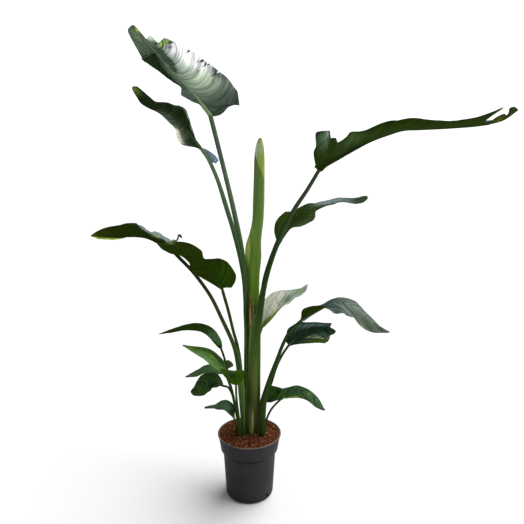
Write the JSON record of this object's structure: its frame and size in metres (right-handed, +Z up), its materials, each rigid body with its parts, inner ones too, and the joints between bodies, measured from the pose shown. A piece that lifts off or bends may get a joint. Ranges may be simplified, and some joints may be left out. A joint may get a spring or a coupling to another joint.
{
  "type": "potted bird of paradise",
  "caption": "House plant with a fan of long-stalked paddle leaves and leafy side shoots, growing in a round black nursery pot that stands on a flat foot.",
  "frame": {"origin": "centre of the pot's underside, on the plane that it stands on", "axes": "+Z up; the front is -Y, the long leaf leans to +X and the side shoot with many small leaves is on -X"},
  "size_m": [1.3712, 0.3209, 1.6643],
  "materials": {
    "pot": "charcoal black, fine matt grain",
    "soil": "loose coconut fibre and bark chips",
    "leaf_dark": "leathery dark green leaf with fine ribs",
    "leaf_grey": "grey-green leaf with a waxy bloom",
    "leaf_teal": "blue-green leaf, soft sheen",
    "leaf_light": "young light green leaf, soft sheen",
    "leaf_pale": "leaf that shines pale where the light strikes it",
    "dry_leaf": "dry brown papery leaf base"
  },
  "bodies": {
    "root": {"pot": "pot", "soil": "soil", "leaf_spear": "leaf_light", "dead_sheath": "dry_leaf", "leaf_top_left": "leaf_grey", "leaf_upper_left": "leaf_dark", "leaf_top_right": "leaf_dark", "leaf_middle_right": "leaf_dark", "leaf_bright_behind": "leaf_pale", "leaf_arching_right": "leaf_grey", "leaf_torn_right": "leaf_dark", "leaf_low_right": "leaf_teal", "leaf_far_left": "leaf_dark", "leaf_front_left": "leaf_dark", "leaf_arching_left": "leaf_dark", "leaf_light_left": "leaf_light", "leaf_teal_left": "leaf_teal", "leaf_round_left": "leaf_dark", "leaf_cupped_left": "leaf_light", "leaf_low_left": "leaf_teal"}
  },
  "joints": []
}
